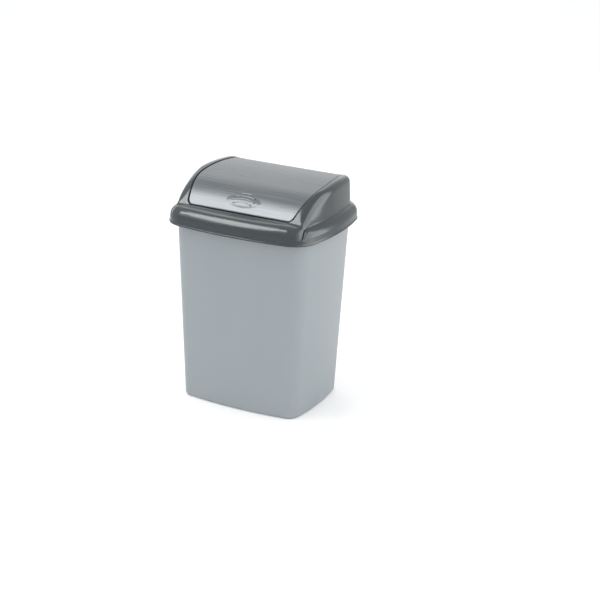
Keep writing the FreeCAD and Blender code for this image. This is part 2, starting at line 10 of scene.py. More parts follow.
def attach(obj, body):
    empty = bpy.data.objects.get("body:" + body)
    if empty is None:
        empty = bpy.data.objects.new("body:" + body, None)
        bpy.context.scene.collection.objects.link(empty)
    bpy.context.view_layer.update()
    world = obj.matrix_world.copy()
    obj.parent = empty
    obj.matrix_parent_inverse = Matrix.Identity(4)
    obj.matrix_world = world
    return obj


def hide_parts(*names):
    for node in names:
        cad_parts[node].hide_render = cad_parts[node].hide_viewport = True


# Sizes of the lid frame and the flap in millimetres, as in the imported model. The front is at -Y.
MM = 0.001
BASE_Z = 380.0
LEDGE_Z = 412.0
CROWN_Z = 471.3
ROOF_CREST_Y = 45.0
PIVOT_Y = -4.11
PIVOT_Z = 461.8
BEAD_PROUD = 0.9
SKIRT_WALL = 2.2
SHOULDER_RADIUS = 19.0
DOME_DRAFT = 4.0
EDGE_RADIUS = 13.0
FLANGE_DEPTH = 15.0
FLANGE_WALL = 2.0
SEAT_RIB_WALL = 1.8
FLAP_FRONT_Y = -104.0
FLAP_BACK_Y = 104.0
FLAP_DROP = 1.2
FLAP_GAP = 1.5
FLAP_WALL = 2.0
LIP_DEPTH = 13.0
LIP_WALL = 1.8

# Plan outlines: half width and depths, then radii of the sides, the ends and the corners. The
# flap's ends have a radius that is as good as straight.
Outline = namedtuple(
    "Outline",
    "half_width front back side_front_radius side_back_radius side_y front_radius back_radius "
    "front_corner back_corner",
)
BEAD_OUTLINE = Outline(172.5, 144.5, 144.5, 478.0, 478.0, 0.0, 820.0, 820.0, 52.0, 52.0)
DOME_OUTLINE = Outline(155.5, 142.4, 111.0, 520.0, 520.0, 3.0, 819.1, 2400.0, 44.0, 20.0)
FLAP_OUTLINE = Outline(132.0, 104.0, 104.0, 270.0, 620.0, -12.0, 90000.0, 90000.0, 11.0, 7.0)
RIM_OUTLINE = Outline(159.8, 129.1, 129.1, 374.5, 374.5, 0.0, 616.4, 616.4, 45.0, 45.0)
# Points on half an outline's arcs: back, back corner, side behind, side in front, corner, front.
LOOP_COUNTS = (16, 12, 26, 30, 22, 18)


def inset(outline, distance):
    """The outline moved inwards by distance, all round."""
    changed = {name: getattr(outline, name) - distance for name in outline._fields}
    changed["side_y"] = outline.side_y
    return Outline(**changed)


def corner_centre(outline, front):
    """Centres of the right-hand corner, side and end arcs, which touch, and their three radii."""
    if front:
        side_radius, end_radius, radius = (
            outline.side_front_radius, outline.front_radius, outline.front_corner
        )
        end = Vector((0.0, end_radius - outline.front))
    else:
        side_radius, end_radius, radius = (
            outline.side_back_radius, outline.back_radius, outline.back_corner
        )
        end = Vector((0.0, outline.back - end_radius))
    side = Vector((outline.half_width - side_radius, outline.side_y))
    between = end - side
    distance = between.length
    reach = side_radius - radius
    along = (distance**2 + reach**2 - (end_radius - radius) ** 2) / (2 * distance)
    across = math.sqrt(max(reach**2 - along**2, 0.0))
    direction = between / distance
    sideways = Vector((-direction.y, direction.x))
    options = [side + direction * along + sideways * across * sign for sign in (1, -1)]
    return max(options, key=lambda point: point.x), side, end, side_radius, end_radius, radius


def angle_of(vector):
    return math.atan2(vector.y, vector.x)


def outline_loop(outline, counts=LOOP_COUNTS):
    """Points and outward normals round an outline, from the back's middle over +X."""
    arcs = []
    corner, side, end, side_radius, end_radius, radius = corner_centre(outline, False)
    end_angle = angle_of(corner - end)
    side_angle = angle_of(corner - side)
    arcs.append((end, end_radius, math.pi / 2, end_angle))
    arcs.append((corner, radius, end_angle, side_angle))
    arcs.append((side, side_radius, side_angle, 0.0))
    corner, side, end, side_radius, end_radius, radius = corner_centre(outline, True)
    end_angle = angle_of(corner - end)
    side_angle = angle_of(corner - side)
    arcs.append((side, side_radius, 0.0, side_angle))
    arcs.append((corner, radius, side_angle, end_angle))
    arcs.append((end, end_radius, end_angle, -math.pi / 2))
    half = []
    for (centre, arc_radius, start, stop), count in zip(arcs, counts):
        for step in range(count):
            angle = start + (stop - start) * step / count
            normal = Vector((math.cos(angle), math.sin(angle)))
            half.append((centre + normal * arc_radius, normal))
    half.append((Vector((0.0, -outline.front)), Vector((0.0, -1.0))))
    mirror = [(Vector((-p.x, p.y)), Vector((-n.x, n.y))) for p, n in half[-2:0:-1]]
    return half + mirror


class Roof:
    """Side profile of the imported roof: sill, hollow, front arc, top arc and rear arc."""

    SILL_START = Vector((-139.0, 409.5))
    SILL_SLOPE = math.radians(14.0)
    HOLLOW_RADIUS = 20.0
    FRONT_RADIUS = 118.625
    TOP_RADIUS = 521.0
    REAR_RADIUS = 24.0
    FRONT_JOIN_Y = -28.0
    REAR_JOIN_Y = 95.0
    LEAST_SQUARE = 1.0

    def __init__(self):
        self.top = Vector((ROOF_CREST_Y, CROWN_Z - self.TOP_RADIUS))
        front_join = self.on_top(self.FRONT_JOIN_Y)
        rear_join = self.on_top(self.REAR_JOIN_Y)
        self.front = front_join + (self.top - front_join).normalized() * self.FRONT_RADIUS
        self.rear = rear_join + (self.top - rear_join).normalized() * self.REAR_RADIUS
        along = Vector((math.cos(self.SILL_SLOPE), math.sin(self.SILL_SLOPE)))
        normal = Vector((-along.y, along.x))
        lifted = self.SILL_START + normal * self.HOLLOW_RADIUS
        relative = lifted - self.front
        shift = -relative.dot(along)
        nearest = relative + along * shift
        reach = self.FRONT_RADIUS + self.HOLLOW_RADIUS
        back = math.sqrt(reach**2 - nearest.length_squared)
        self.hollow = lifted + along * (shift - back)
        self.sill_end = (self.hollow - normal * self.HOLLOW_RADIUS).x
        towards = (self.front - self.hollow).normalized()
        self.hollow_end = (self.hollow + towards * self.HOLLOW_RADIUS).x

    def on_top(self, y):
        return Vector((y, self.top.y + math.sqrt(self.TOP_RADIUS**2 - (y - self.top.x) ** 2)))

    def height(self, y, drop=0.0):
        """Height at a depth y, on the arcs a drop below the roof's face."""
        if y < self.sill_end:
            return self.SILL_START.y + (y - self.SILL_START.x) * math.tan(self.SILL_SLOPE)
        if y < self.hollow_end:
            return self.hollow.y - math.sqrt(self.HOLLOW_RADIUS**2 - (y - self.hollow.x) ** 2)
        if y < self.FRONT_JOIN_Y:
            centre, radius = self.front, self.FRONT_RADIUS - drop
        elif y < self.REAR_JOIN_Y:
            centre, radius = self.top, self.TOP_RADIUS - drop
        else:
            centre, radius = self.rear, self.REAR_RADIUS - drop
        square = radius**2 - (y - centre.x) ** 2
        return centre.y + math.sqrt(max(square, self.LEAST_SQUARE))


ROOF = Roof()


def ease(value, low, high):
    """Smooth step from 0 at low to 1 at high."""
    share = min(max((value - low) / (high - low), 0.0), 1.0)
    return share * share * (3.0 - 2.0 * share)


def softly_over_zero(value, bend):
    """The value where it is well over 0, nearly 0 below, and a soft bend between the two."""
    return 0.5 * (value + math.sqrt(value**2 + bend))


WELD_METRES = 0.000002


def mesh_piece(name, points, faces, shades, material, sharp_degrees):
    """Object made of millimetre points and faces, smooth, with the gap's painted shade as a point
    attribute.
    """
    mesh = bpy.data.meshes.new(name)
    mesh.from_pydata([Vector(point) * MM for point in points], [], faces)
    # Share of painted shade of the gap round the flap, for each point.
    shade = mesh.attributes.new("gap_painted_shade", "FLOAT", "POINT")
    shade.data.foreach_set("value", shades)
    work = bmesh.new()
    work.from_mesh(mesh)
    bmesh.ops.remove_doubles(work, verts=work.verts, dist=WELD_METRES)
    bmesh.ops.recalc_face_normals(work, faces=work.faces)
    work.to_mesh(mesh)
    work.free()
    mesh.shade_smooth()
    mesh.set_sharp_from_angle(angle=math.radians(sharp_degrees))
    mesh.materials.append(material)
    piece = bpy.data.objects.new(name, mesh)
    bpy.context.scene.collection.objects.link(piece)
    return piece


def grid_faces(rows, columns, start=0, closed=True):
    """Quads of a grid of points, closed round both ways or open."""
    faces = []
    for row in range(rows if closed else rows - 1):
        after = (row + 1) % rows
        for column in range(columns if closed else columns - 1):
            beside = (column + 1) % columns
            faces.append((
                start + row * columns + column, start + row * columns + beside,
                start + after * columns + beside, start + after * columns + column,
            ))
    return faces


def join_parts(parts):
    """Points, faces and shades of several closed forms in one list each."""
    points, faces, shades = [], [], []
    for part_points, part_faces, *part_shades in parts:
        shift = len(points)
        points += part_points
        faces += [tuple(index + shift for index in face) for face in part_faces]
        shades += part_shades[0] if part_shades else [0.0] * len(part_points)
    return points, faces, shades


LONGEST_REACH = 60.0
PARALLEL = 1e-9
EDGE_OVERLAP = 0.001


def distance_outwards(point, normal, loop):
    """How far out along the normal a closed loop of points lies, within the longest reach."""
    best = None
    for (first, _), (second, _) in zip(loop, loop[1:] + loop[:1]):
        edge = second - first
        cross = normal.x * edge.y - normal.y * edge.x
        if abs(cross) < PARALLEL:
            continue
        offset = first - point
        reach = (offset.x * edge.y - offset.y * edge.x) / cross
        share = (offset.x * normal.y - offset.y * normal.x) / cross
        if -EDGE_OVERLAP <= share <= 1.0 + EDGE_OVERLAP and abs(reach) < LONGEST_REACH:
            if best is None or abs(reach) < abs(best):
                best = reach
    return best


# The frame's sill in front of the flap: nearly level in the middle, the arch's at the cheeks.
SILL_BACK_Y = -105.5
SILL_BACK_Z = 417.9
SILL_TILT = math.radians(5.5)
SILL_END_Y = -85.0
SILL_SIDE_X = (60.0, 134.0)
SILL_ARCH_SHARE = 0.25
SILL_BEND = 1.0


def roof_height(x, y):
    """Height of the frame's roof, with a nearly level sill in front of the flap."""
    arch = ROOF.height(y)
    if y > SILL_END_Y:
        return arch
    sill = SILL_BACK_Z + (y - SILL_BACK_Y) * math.tan(SILL_TILT)
    lead = arch - sill
    cheek = sill + softly_over_zero(lead, SILL_BEND)
    share = ease(abs(x), *SILL_SIDE_X)
    return (sill + SILL_ARCH_SHARE * max(lead, 0.0)) * (1.0 - share) + cheek * share


# Forms of the front cheeks, which set in with the roof's height and fade out towards the back.
CHEEK_CROWN = 3.0
CROWN_ROOF_Z = (424.0, 446.0)
CROWN_FADE_Y = (-70.0, 20.0)
CROWN_START_Z = LEDGE_Z + 8.0
LEAST_CROWN_RISE = 20.0
CHEEK_ROUNDING = 8.0
ROUNDING_ROOF_Z = (415.0, 430.0)
ROUNDING_FADE_Y = (-55.0, 15.0)
CHEEK_TILT = 0.2
TILT_OPENING_X = (100.0, 128.0)
TILT_FADE_Y = (-80.0, -20.0)
LEAST_BACK_EDGE = 5.0

# Drafts of the upright walls, and the ledge between the dome and the skirt's shoulder.
SKIRT_DRAFT = 1.2
BACK_SKIRT_DRAFT = 0.3
DRAFT_CHANGE_Y = (-40.0, 20.0)
DRAFT_RISE = 13.0
DOME_FOOT_Z = LEDGE_Z - 8.0
LEDGE_BELOW_ROOF = 9.0
SLOPE_STEP = 0.1
TILT_STEP = 0.5
EDGE_ROUNDS = 8
LEDGE_ROUNDS = 4


class Station:
    """One upright section of the lid frame, from the opening out to the skirt."""

    def __init__(self, dome, normal, opening, skirt_reach, shift=0.0, edge=EDGE_RADIUS):
        self.shift = shift
        self.dome = dome
        self.normal = normal
        self.opening = opening
        self.width = (dome - opening).length
        self.skirt = skirt_reach
        top = ROOF.height(dome.y)
        self.crown = CHEEK_CROWN * (ease(top, *CROWN_ROOF_Z) * (1.0 - ease(dome.y, *CROWN_FADE_Y)))
        self.crown_top = max(top, CROWN_START_Z + LEAST_CROWN_RISE)
        draft_change = BACK_SKIRT_DRAFT - SKIRT_DRAFT
        self.draft = SKIRT_DRAFT + draft_change * ease(dome.y, *DRAFT_CHANGE_Y)
        tilt = CHEEK_TILT * ease(abs(opening.x), *TILT_OPENING_X)
        self.tilt = tilt * (1.0 - ease(dome.y, *TILT_FADE_Y))
        rounding = ease(top, *ROUNDING_ROOF_Z) * (1.0 - ease(dome.y, *ROUNDING_FADE_Y))
        self.edge = max(edge, EDGE_RADIUS + CHEEK_ROUNDING * rounding)
        if dome.y > 0.0:
            self.edge = min(self.edge, max(self.width, LEAST_BACK_EDGE))

    def place(self, offset):
        """Plan point at an offset outwards from the dome's wall."""
        if offset > 0:
            return self.dome + self.normal * offset
        return self.dome + (self.opening - self.dome) * (-offset / self.width)

    def roof(self, offset):
        place = self.place(offset)
        return roof_height(place.x, place.y) - self.tilt * (self.width + offset)

    def point(self, offset, z):
        place = self.place(offset)
        return (place.x, place.y, z)

    def wall(self, z):
        """Offset of the dome's wall at a height."""
        draft = DOME_DRAFT * (max(z, DOME_FOOT_Z) - LEDGE_Z) / (CROWN_Z - LEDGE_Z)
        share = max(0.0, (z - CROWN_START_Z) / (self.crown_top - CROWN_START_Z))
        return self.shift - draft - self.crown * share**2

    def wall_tilt(self, z):
        return math.atan(self.wall(z - TILT_STEP) - self.wall(z + TILT_STEP))

    def edge_circle(self, radius, inwards):
        """Circle between roof and wall: centre, first and last angle from upright."""
        high = self.roof(self.shift - radius) - radius
        offset = self.wall(high) - inwards - radius
        for _ in range(EDGE_ROUNDS):
            slope = self.roof(offset - SLOPE_STEP) - self.roof(offset + SLOPE_STEP)
            first = math.atan(slope / (2 * SLOPE_STEP))
            touch = offset + radius * math.sin(first)
            centre_z = self.roof(touch) - inwards / math.cos(first) - radius * math.cos(first)
            tilt = self.wall_tilt(centre_z)
            wall_z = centre_z + radius * math.sin(tilt)
            offset = self.wall(wall_z) - inwards - radius * math.cos(tilt)
        return offset, centre_z, first, math.pi / 2 - tilt

    def ledge(self, offset, inwards):
        """Height of the skirt's rounded top at an offset."""
        radius = SHOULDER_RADIUS - inwards
        past = offset - (self.skirt - self.draft - inwards - radius)
        base = LEDGE_Z - SHOULDER_RADIUS
        if past <= 0:
            height = base + radius
        else:
            height = base + math.sqrt(max(radius**2 - past**2, 0.0))
        return min(height, self.roof(min(offset, self.shift)) - LEDGE_BELOW_ROOF - inwards)


# Points along the parts of a section of the frame.
ROOF_STEPS = 10
ARC_STEPS = 12
WALL_STEPS = 12
LEDGE_STEPS = 12
EDGE_MARGIN = 0.02

OPENING_EDGE = 1.5
OPENING_TURNS = (0.5, 1.0)
FLANGE_STEP = 6.0
FLANGE_FOOT_EDGE = 0.4
FLANGE_INNER_EDGE = 0.3
LEDGE_FILLET = 1.6
INNER_LEDGE_FILLET = 0.5
FILLET_ROOM = 0.3
FILLET_SHARES = (0.36, 0.7)
SKIRT_HEIGHTS = (391.0, 389.0, 387.0, 385.4, 384.2)

# The bead at the skirt's foot: shares of its reach with their heights, then steps in from its edge.
BEAD_REACH = 0.85
BEAD_START_Z = 383.5
BEAD_WALL_Z = 383.0
BEAD_WALL_REACH = 0.1
BEAD_TOP = ((0.25, 383.4), (0.7, 382.9))
BEAD_FACE = ((0.0, 382.2), (0.0, 381.2), (0.0, 380.5), (0.15, 380.15), (0.5, BASE_Z))
BEAD_INSIDE_RISE = 1.0
SKIRT_INSIDE_Z = 386.0


def arc_points(circle, radius, start):
    """Points of an edge circle, from an angle on to its last angle."""
    offset, centre_z, _, last = circle
    turns = [start + (last - start) * step / ARC_STEPS for step in range(ARC_STEPS + 1)]
    return [(offset + radius * math.sin(t), centre_z + radius * math.cos(t)) for t in turns]


def top_line(station, inner, radius, inwards):
    """Roof from an inner offset out, over the rounded edge, to the top of the wall."""
    circle = station.edge_circle(radius, inwards)
    offset, centre_z, first, last = circle
    touch = offset + radius * math.sin(first)
    reach = max(min((inner - offset) / radius, math.sin(last) - EDGE_MARGIN), -1.0)
    start = max(first, math.asin(reach))
    line = []
    if touch > inner:
        for step in range(ROOF_STEPS):
            at = inner + (touch - inner) * step / ROOF_STEPS
            line.append((at, station.roof(at) - inwards / math.cos(first)))
    else:
        line.extend([(inner, centre_z + radius * math.cos(start))] * ROOF_STEPS)
    return line + arc_points(circle, radius, start)


def skirt_line(station, z, inwards):
    """Offset of the upright wall below the shoulder: the skirt's or the dome's, if further out."""
    draft = station.draft * min(max((z - BASE_Z) / DRAFT_RISE, 0.0), 1.0)
    return max(station.skirt - draft, station.wall(z)) - inwards


def ledge_line(station, inwards, fillet):
    """From the wall's foot over the ledge and the shoulder to the skirt's upright wall."""
    z = LEDGE_Z
    for _ in range(LEDGE_ROUNDS):
        z = station.ledge(station.wall(z) - inwards, inwards)
    start = station.wall(z) - inwards
    stop = skirt_line(station, LEDGE_Z - SHOULDER_RADIUS, inwards)
    room = max(stop - start, 0.0)
    radius = min(fillet, FILLET_ROOM * room)
    line = [(station.wall(z + radius) - inwards, z + radius)]
    for share in FILLET_SHARES:
        line.append((start + radius * share**2, z + radius * (1 - share) ** 2))
    for step in range(LEDGE_STEPS + 1):
        share = math.sin(math.pi / 2 * step / LEDGE_STEPS)
        at = start + radius + (room - radius) * share
        line.append((at, station.ledge(at, inwards)))
    return line


def wall_between(station, high, low, inwards):
    """Dome's wall between two heights, without its ends."""
    heights = [high + (low - high) * step / WALL_STEPS for step in range(1, WALL_STEPS)]
    return [(station.wall(z) - inwards, z) for z in heights]


def never_rising(line):
    """The line with each height held at or below the one before it."""
    held = [line[0]]
    for at, z in line[1:]:
        held.append((at, min(z, held[-1][1])))
    return held


def bead_line(station):
    """Bead at the skirt's foot, from under the skirt's wall round to the wall's inside."""
    edge = max(station.skirt + BEAD_REACH, station.wall(BEAD_WALL_Z) + BEAD_WALL_REACH)
    lower = skirt_line(station, BEAD_START_Z, 0.0)
    inside = station.skirt - SKIRT_WALL
    line = [(lower + share * (edge - lower), z) for share, z in BEAD_TOP]
    line += [(edge - step, z) for step, z in BEAD_FACE]
    line += [(inside, BASE_Z), (inside, BASE_Z + BEAD_INSIDE_RISE)]
    return line + [(skirt_line(station, SKIRT_INSIDE_Z, SKIRT_WALL), SKIRT_INSIDE_Z)]


def frame_section(station):
    """Closed section of the lid frame's wall, as (offset, height) points."""
    inner = -station.width
    top = top_line(station, inner + OPENING_EDGE, station.edge, 0.0)
    edge_z = top[0][1]
    foot = edge_z - FLANGE_DEPTH
    section = [
        (inner, foot + FLANGE_FOOT_EDGE), (inner, foot + FLANGE_STEP), (inner, edge_z - OPENING_EDGE),
    ]
    for turn in OPENING_TURNS:
        section.append((
            inner + OPENING_EDGE * (1 - math.cos(turn)), edge_z - OPENING_EDGE * (1 - math.sin(turn))
        ))
    ledge = ledge_line(station, 0.0, LEDGE_FILLET)
    wall = wall_between(station, top[-1][1], min(ledge[0][1], top[-1][1]), 0.0)
    skirt = [(skirt_line(station, z, 0.0), z) for z in SKIRT_HEIGHTS]
    section += top[:-1] + never_rising(top[-1:] + wall + ledge + skirt)
    section += bead_line(station)
    inner_ledge = ledge_line(station, SKIRT_WALL, INNER_LEDGE_FILLET)
    floor = inner + FLANGE_WALL
    inner_top = top_line(station, floor, station.edge - SKIRT_WALL, SKIRT_WALL)
    inner_foot = min(inner_ledge[0][1], inner_top[-1][1])
    inner_wall = wall_between(station, inner_top[-1][1], inner_foot, SKIRT_WALL)
    cavity = inner_top[:-1] + never_rising(inner_top[-1:] + inner_wall + inner_ledge)
    cavity = [(at, max(z, SKIRT_INSIDE_Z)) for at, z in cavity[::-1]]
    section += [(max(at, floor) if z > foot else at, z) for at, z in cavity]
    section += [
        (floor, edge_z - FLANGE_STEP), (floor, foot + FLANGE_INNER_EDGE),
        (floor - FLANGE_INNER_EDGE, foot), (inner + FLANGE_FOOT_EDGE, foot),
    ]
    return section


# At the front corners the skirt is near the dome, and the two flow into one. The crease between
# them sets in as the skirt reaches further out.
CREASE_REACH = (8.5, 14.5)
CORNER_REACH = (3.0, 9.0)
FRONT_EDGE_RADIUS = 22.0
CORNER_ROUNDING = 7.0
FLOWING_DRAFT_SHARE = 0.6


def blended_section(dome, normal, opening, reach):
    """Section with a crease over the skirt, or one that flows into it where the skirt is near."""
    creased = ease(reach, *CREASE_REACH)
    station = Station(dome, normal, opening, reach)
    section = frame_section(station)
    if creased < 1.0:
        shift = reach - SKIRT_DRAFT * FLOWING_DRAFT_SHARE
        edge = FRONT_EDGE_RADIUS + CORNER_ROUNDING * ease(reach, *CORNER_REACH)
        flowing = frame_section(Station(dome, normal, opening, reach, shift, edge))
        section = [
            (a[0] + (b[0] - a[0]) * creased, a[1] + (b[1] - a[1]) * creased)
            for a, b in zip(flowing, section)
        ]
    return [station.point(*place) for place in section]


def frame_rows():
    """The frame's sections all round, with the skirt's outline taken three times as fine."""
    dome = outline_loop(DOME_OUTLINE)
    opening = outline_loop(inset(FLAP_OUTLINE, -FLAP_GAP))
    fine_counts = tuple(3 * count for count in LOOP_COUNTS)
    skirt = outline_loop(inset(BEAD_OUTLINE, BEAD_PROUD), fine_counts)
    rows = []
    for (point, normal), (edge, _) in zip(dome, opening):
        rows.append(blended_section(point, normal, edge, distance_outwards(point, normal, skirt)))
    return rows


SEAT_RIB_FOOT_Z = 400.0
SEAT_RIB_TOP_Z = 409.5


def seat_rib():
    """Ring that stands on the bucket's rim, up to the shoulder."""
    corners = (
        (0.0, SEAT_RIB_FOOT_Z), (0.0, SEAT_RIB_TOP_Z),
        (SEAT_RIB_WALL, SEAT_RIB_TOP_Z), (SEAT_RIB_WALL, SEAT_RIB_FOOT_Z),
    )
    rings = []
    for distance, z in corners:
        loop = outline_loop(inset(RIM_OUTLINE, distance))
        rings.append([(point.x, point.y, z) for point, _ in loop])
    points = [point for ring in rings for point in ring]
    return points, grid_faces(len(rings), len(rings[0]))


# Bearing bosses of the frame and lugs of the flap: radius, bore, start and end along X, chamfer.
BOSS = (6.4, 3.56, 133.6, 137.5, 0.4)
LUG = (6.5, 3.52, 126.6, 131.6, 0.3)
ROUND_STEPS = 48
ROUND_TURNS = [2 * math.pi * step / ROUND_STEPS for step in range(ROUND_STEPS)]
LEAST_SLOPE = 0.01


def circle_profile(radius):
    """Circle about the pivot, as (y, z) points."""
    return [
        (PIVOT_Y + radius * math.cos(turn), PIVOT_Z + radius * math.sin(turn))
        for turn in ROUND_TURNS
    ]


def lug_profile(radius):
    """Round barrel about the pivot with a straight web that reaches into the panel."""
    profile = []
    top = ROOF.height(PIVOT_Y, FLAP_DROP + FLAP_WALL / 2) - PIVOT_Z
    for turn in ROUND_TURNS:
        reach = radius
        if math.sin(turn) > LEAST_SLOPE:
            reach = min(radius / max(abs(math.cos(turn)), LEAST_SLOPE), top / math.sin(turn))
        profile.append((PIVOT_Y + reach * math.cos(turn), PIVOT_Z + reach * math.sin(turn)))
    return profile


def ring_solid(outer, bore, start_x, stop_x, chamfer):
    """Boss on the pivot's axis: an outer (y, z) profile with a round bore."""
    hole = circle_profile(bore)
    middle = Vector((PIVOT_Y, PIVOT_Z))
    shrunk = []
    for place in outer:
        arm = Vector(place) - middle
        shrunk.append(middle + arm * (1 - chamfer / arm.length))
    inwards = chamfer if stop_x > start_x else -chamfer
    rings = [
        (start_x, hole), (start_x, shrunk), (start_x + inwards, outer),
        (stop_x - inwards, outer), (stop_x, shrunk), (stop_x, hole),
    ]
    points = [(x, p[0], p[1]) for x, ring in rings for p in ring]
    return points, grid_faces(len(rings), ROUND_STEPS)


def ring_pair(profile, sizes):
    """The same boss at the right and at the left."""
    radius, bore, start_x, stop_x, chamfer = sizes
    return [
        ring_solid(profile(radius), bore, side * start_x, side * stop_x, chamfer)
        for side in (1, -1)
    ]


FRAME_SHARP_DEGREES = 40.0
# Painted shade on a section's first points, which line the opening: the gap round the flap, darkened
# in the colour where shade falls.
OPENING_PAINTED_SHADE = [1.0, 1.0, 1.0, 1.0, 1.0, 0.4]


def build_lid_frame(material):
    """Lid frame in one shell: flange, roof, crowned cheeks, ledge, skirt and bead."""
    rows = frame_rows()
    # Painted gap shade on each section's opening points, none elsewhere.
    painted_gap_shades = OPENING_PAINTED_SHADE + [0.0] * (len(rows[0]) - len(OPENING_PAINTED_SHADE))
    shell = (
        [point for row in rows for point in row], grid_faces(len(rows), len(rows[0])),
        painted_gap_shades * len(rows),
    )
    parts = [shell, seat_rib(), *ring_pair(circle_profile, BOSS)]
    piece = mesh_piece("lid_frame_shell", *join_parts(parts), material, FRAME_SHARP_DEGREES)
    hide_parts("lid_frame")
    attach(piece, "lid")


FLAP_ROUND = 1.2
FLAP_SHARP_DEGREES = 32.0

# The push pad, from its middle on the flap's face, and the ribs on it.
PAD_Y = -88.0
PAD_HALF_WIDTH = 38.5
PAD_HALF_LENGTH = 14.5
PAD_HEIGHT = 2.7
PAD_BEND = 0.01
PAD_END = 1.1
RIB_HALF_WIDTH = 2.2
RIB_BOW_RADIUS = 80.0
RIB_STEPS = 28
RIB_ROUND_STEPS = 16
RIB_END_SHARE = 0.25
RIB_END_DEPTH = 0.4
# Each grip rib's place behind the pad's middle, its length and its height.
GRIP_RIBS = ((17.0, 26.0, 1.3), (11.0, 44.0, 1.3), (5.0, 50.0, 0.8), (-1.5, 42.0, 0.3))


def plan_half_width(outline, y):
    """Half width of an outline with rounded corners, at a depth y."""
    front = y < outline.side_y
    corner, side, _, side_radius, _, radius = corner_centre(outline, front)
    direction = (corner - side).normalized()
    joint = corner + direction * radius
    if (front and y < joint.y) or (not front and y > joint.y):
        return corner.x + math.sqrt(max(radius**2 - (y - corner.y) ** 2, 0.0))
    return side.x + math.sqrt(side_radius**2 - (y - side.y) ** 2)


def spaced(marks):
    """Numbers from each mark to the next, at the spacing that the mark names."""
    values = []
    for (start, gap), (stop, _) in zip(marks, marks[1:]):
        count = max(1, round((stop - start) / gap))
        values += [start + (stop - start) * step / count for step in range(count)]
    return values + [marks[-1][0]]


# The flap's grid, as shares of its half depth and half width, fine at the edges and at the pad.
FLAP_ROWS = spaced((
    (-1.0, 0.002), (-0.99, 0.006), (-0.93, 0.0048), (-0.62, 0.012), (-0.4, 0.03),
    (0.9, 0.012), (0.97, 0.006), (0.99, 0.002), (1.0, 1.0),
))
FLAP_COLUMNS = spaced((
    (-1.0, 0.01), (-0.96, 0.03), (-0.36, 0.0065), (0.36, 0.03), (0.96, 0.01), (1.0, 1.0),
))


class Grip:
    """The oval push pad, as heights over the flap's face."""

    def __init__(self):
        place = Vector((PAD_Y, ROOF.height(PAD_Y)))
        self.normal = (place - ROOF.front).normalized()
        self.middle = ROOF.front + self.normal * (ROOF.FRONT_RADIUS - FLAP_DROP)
        self.along = Vector((self.normal.y, -self.normal.x))

    def pad(self, x, point):
        """Height of the rounded pad over the face."""
        across = (point - self.middle).dot(self.along)
        reach = math.hypot(x / PAD_HALF_WIDTH, across / PAD_HALF_LENGTH)
        if reach > PAD_END:
            return 0.0
        bulge = PAD_HEIGHT * (1.0 - reach**2)
        return softly_over_zero(bulge, PAD_BEND) * (1.0 - ease(reach, 1.0, PAD_END))

    def surface(self, x, y):
        """Point of the flap's face, the pad with it."""
        point = Vector((y, ROOF.height(y, FLAP_DROP)))
        return point + self.normal * self.pad(x, point)


GRIP = Grip()


def flap_skin(outline, drop):
    """Grid of points of a skin of the flap, a drop below the roof and raised at the pad."""
    points = []
    for row in FLAP_ROWS:
        for column in FLAP_COLUMNS:
            y = row * outline.front
            x = column * plan_half_width(outline, y)
            point = Vector((y, ROOF.height(y, drop)))
            point += GRIP.normal * GRIP.pad(x, Vector((y, ROOF.height(y, FLAP_DROP))))
            points.append((x, point.x, point.y))
    return points


def grid_border(rows, columns):
    """Row and column numbers round the edge of a grid."""
    last_row, last_column = rows - 1, columns - 1
    border = [(0, column) for column in range(last_column)]
    border += [(row, last_column) for row in range(last_row)]
    border += [(last_row, column) for column in range(last_column, 0, -1)]
    return border + [(row, 0) for row in range(last_row, 0, -1)]


# Where the lip follows the flap's sweep, and where its foot stops level with the back edge's.
SWEEP_Y = (60.0, 95.0)
LEVEL_LIP_Y = (60.0, 62.0)
SWEEP_LIMIT = 0.9

# Rings of the lip from the face down: turns of the rounded edge, then shares of the depth.
ROUND_EDGE_TURNS = (0.4, 0.8, 1.2, math.pi / 2)
OUTER_LIP_SHARES = (0.3, 0.6, 0.96)
INNER_LIP_SHARES = (0.9, 0.6, 0.35)
LIP_CHAMFER = 0.35
# Painted shade on the lip's rings, the shade in the gap round the flap: it grows over the first rings
# at the sides and back, and at the front sets in only at the foot of the rounded edge.
FRONT_PAINTED_SHADE_Y = -100.0
FRONT_PAINTED_SHADE_RINGS = (3.0, 5.0)
PAINTED_SHADE_RINGS = (0.0, 3.0)


def swept(point, top_z):
    """Moves a point of the lip onto the flap's sweep about its pivot."""
    x, y, z = point
    share = ease(-y, *SWEEP_Y)
    if share <= 0.0:
        return point
    radius = math.hypot(FLAP_FRONT_Y - PIVOT_Y, ROOF.height(FLAP_FRONT_Y) - PIVOT_Z)
    start = math.sqrt(radius**2 - min(top_z - PIVOT_Z, 0.0) ** 2)
    here = math.sqrt(radius**2 - min((z - PIVOT_Z) ** 2, radius**2 * SWEEP_LIMIT))
    return (x, y + (start - here) * share, z)


def lip_ring(distance, border, depth_share, extra=FLAP_ROUND):
    """Ring of the lip, a share of the way down it from an extra drop below the face."""
    outline = inset(FLAP_OUTLINE, distance)
    floor = ROOF.height(FLAP_BACK_Y, FLAP_DROP) - LIP_DEPTH
    ring = []
    for row, column in border:
        y = FLAP_ROWS[row] * outline.front
        x = FLAP_COLUMNS[column] * plan_half_width(outline, y)
        start = ROOF.height(y, FLAP_DROP) - extra
        low = max(ROOF.height(y, FLAP_DROP + LIP_DEPTH), floor * ease(y, *LEVEL_LIP_Y))
        z = start + (low - start) * depth_share
        ring.append(swept((x, y, z), start))
    return ring


